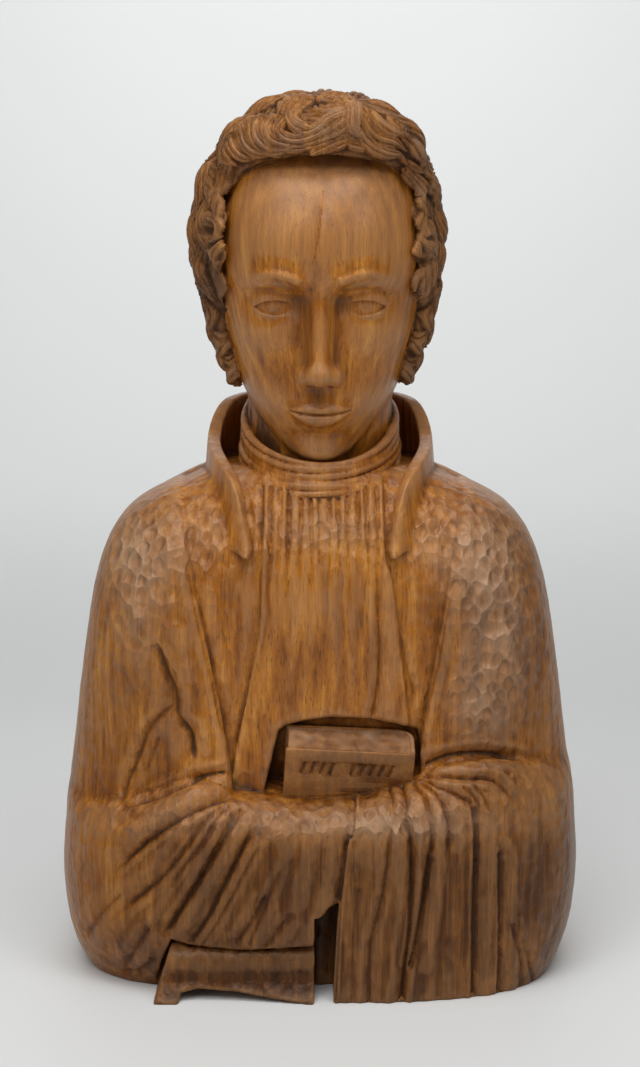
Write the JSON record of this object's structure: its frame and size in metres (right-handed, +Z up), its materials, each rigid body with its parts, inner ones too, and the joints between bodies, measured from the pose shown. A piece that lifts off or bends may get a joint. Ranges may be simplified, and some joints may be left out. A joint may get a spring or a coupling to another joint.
{
  "type": "wooden bust",
  "caption": "Carved wooden half-length bust with a bowed head, short wavy hair, high collar and neckcloth, an open cloak, and crossed sleeves holding a small closed book.",
  "frame": {"origin": "centre of the outer bounding box's bottom face, on the surface the bust stands on", "axes": "+Z up along the height of the bust; the face, book and crossed sleeves face -Y; +X is to the right of someone facing the bust"},
  "size_m": [0.3104, 0.1944, 0.5191],
  "materials": {
    "carved_wood": "golden brown hardwood with vertical grain, satin wax finish, hand gouged, darker patina in the recesses"
  },
  "bodies": {
    "root": {"carved_bust": "carved_wood"}
  },
  "joints": []
}
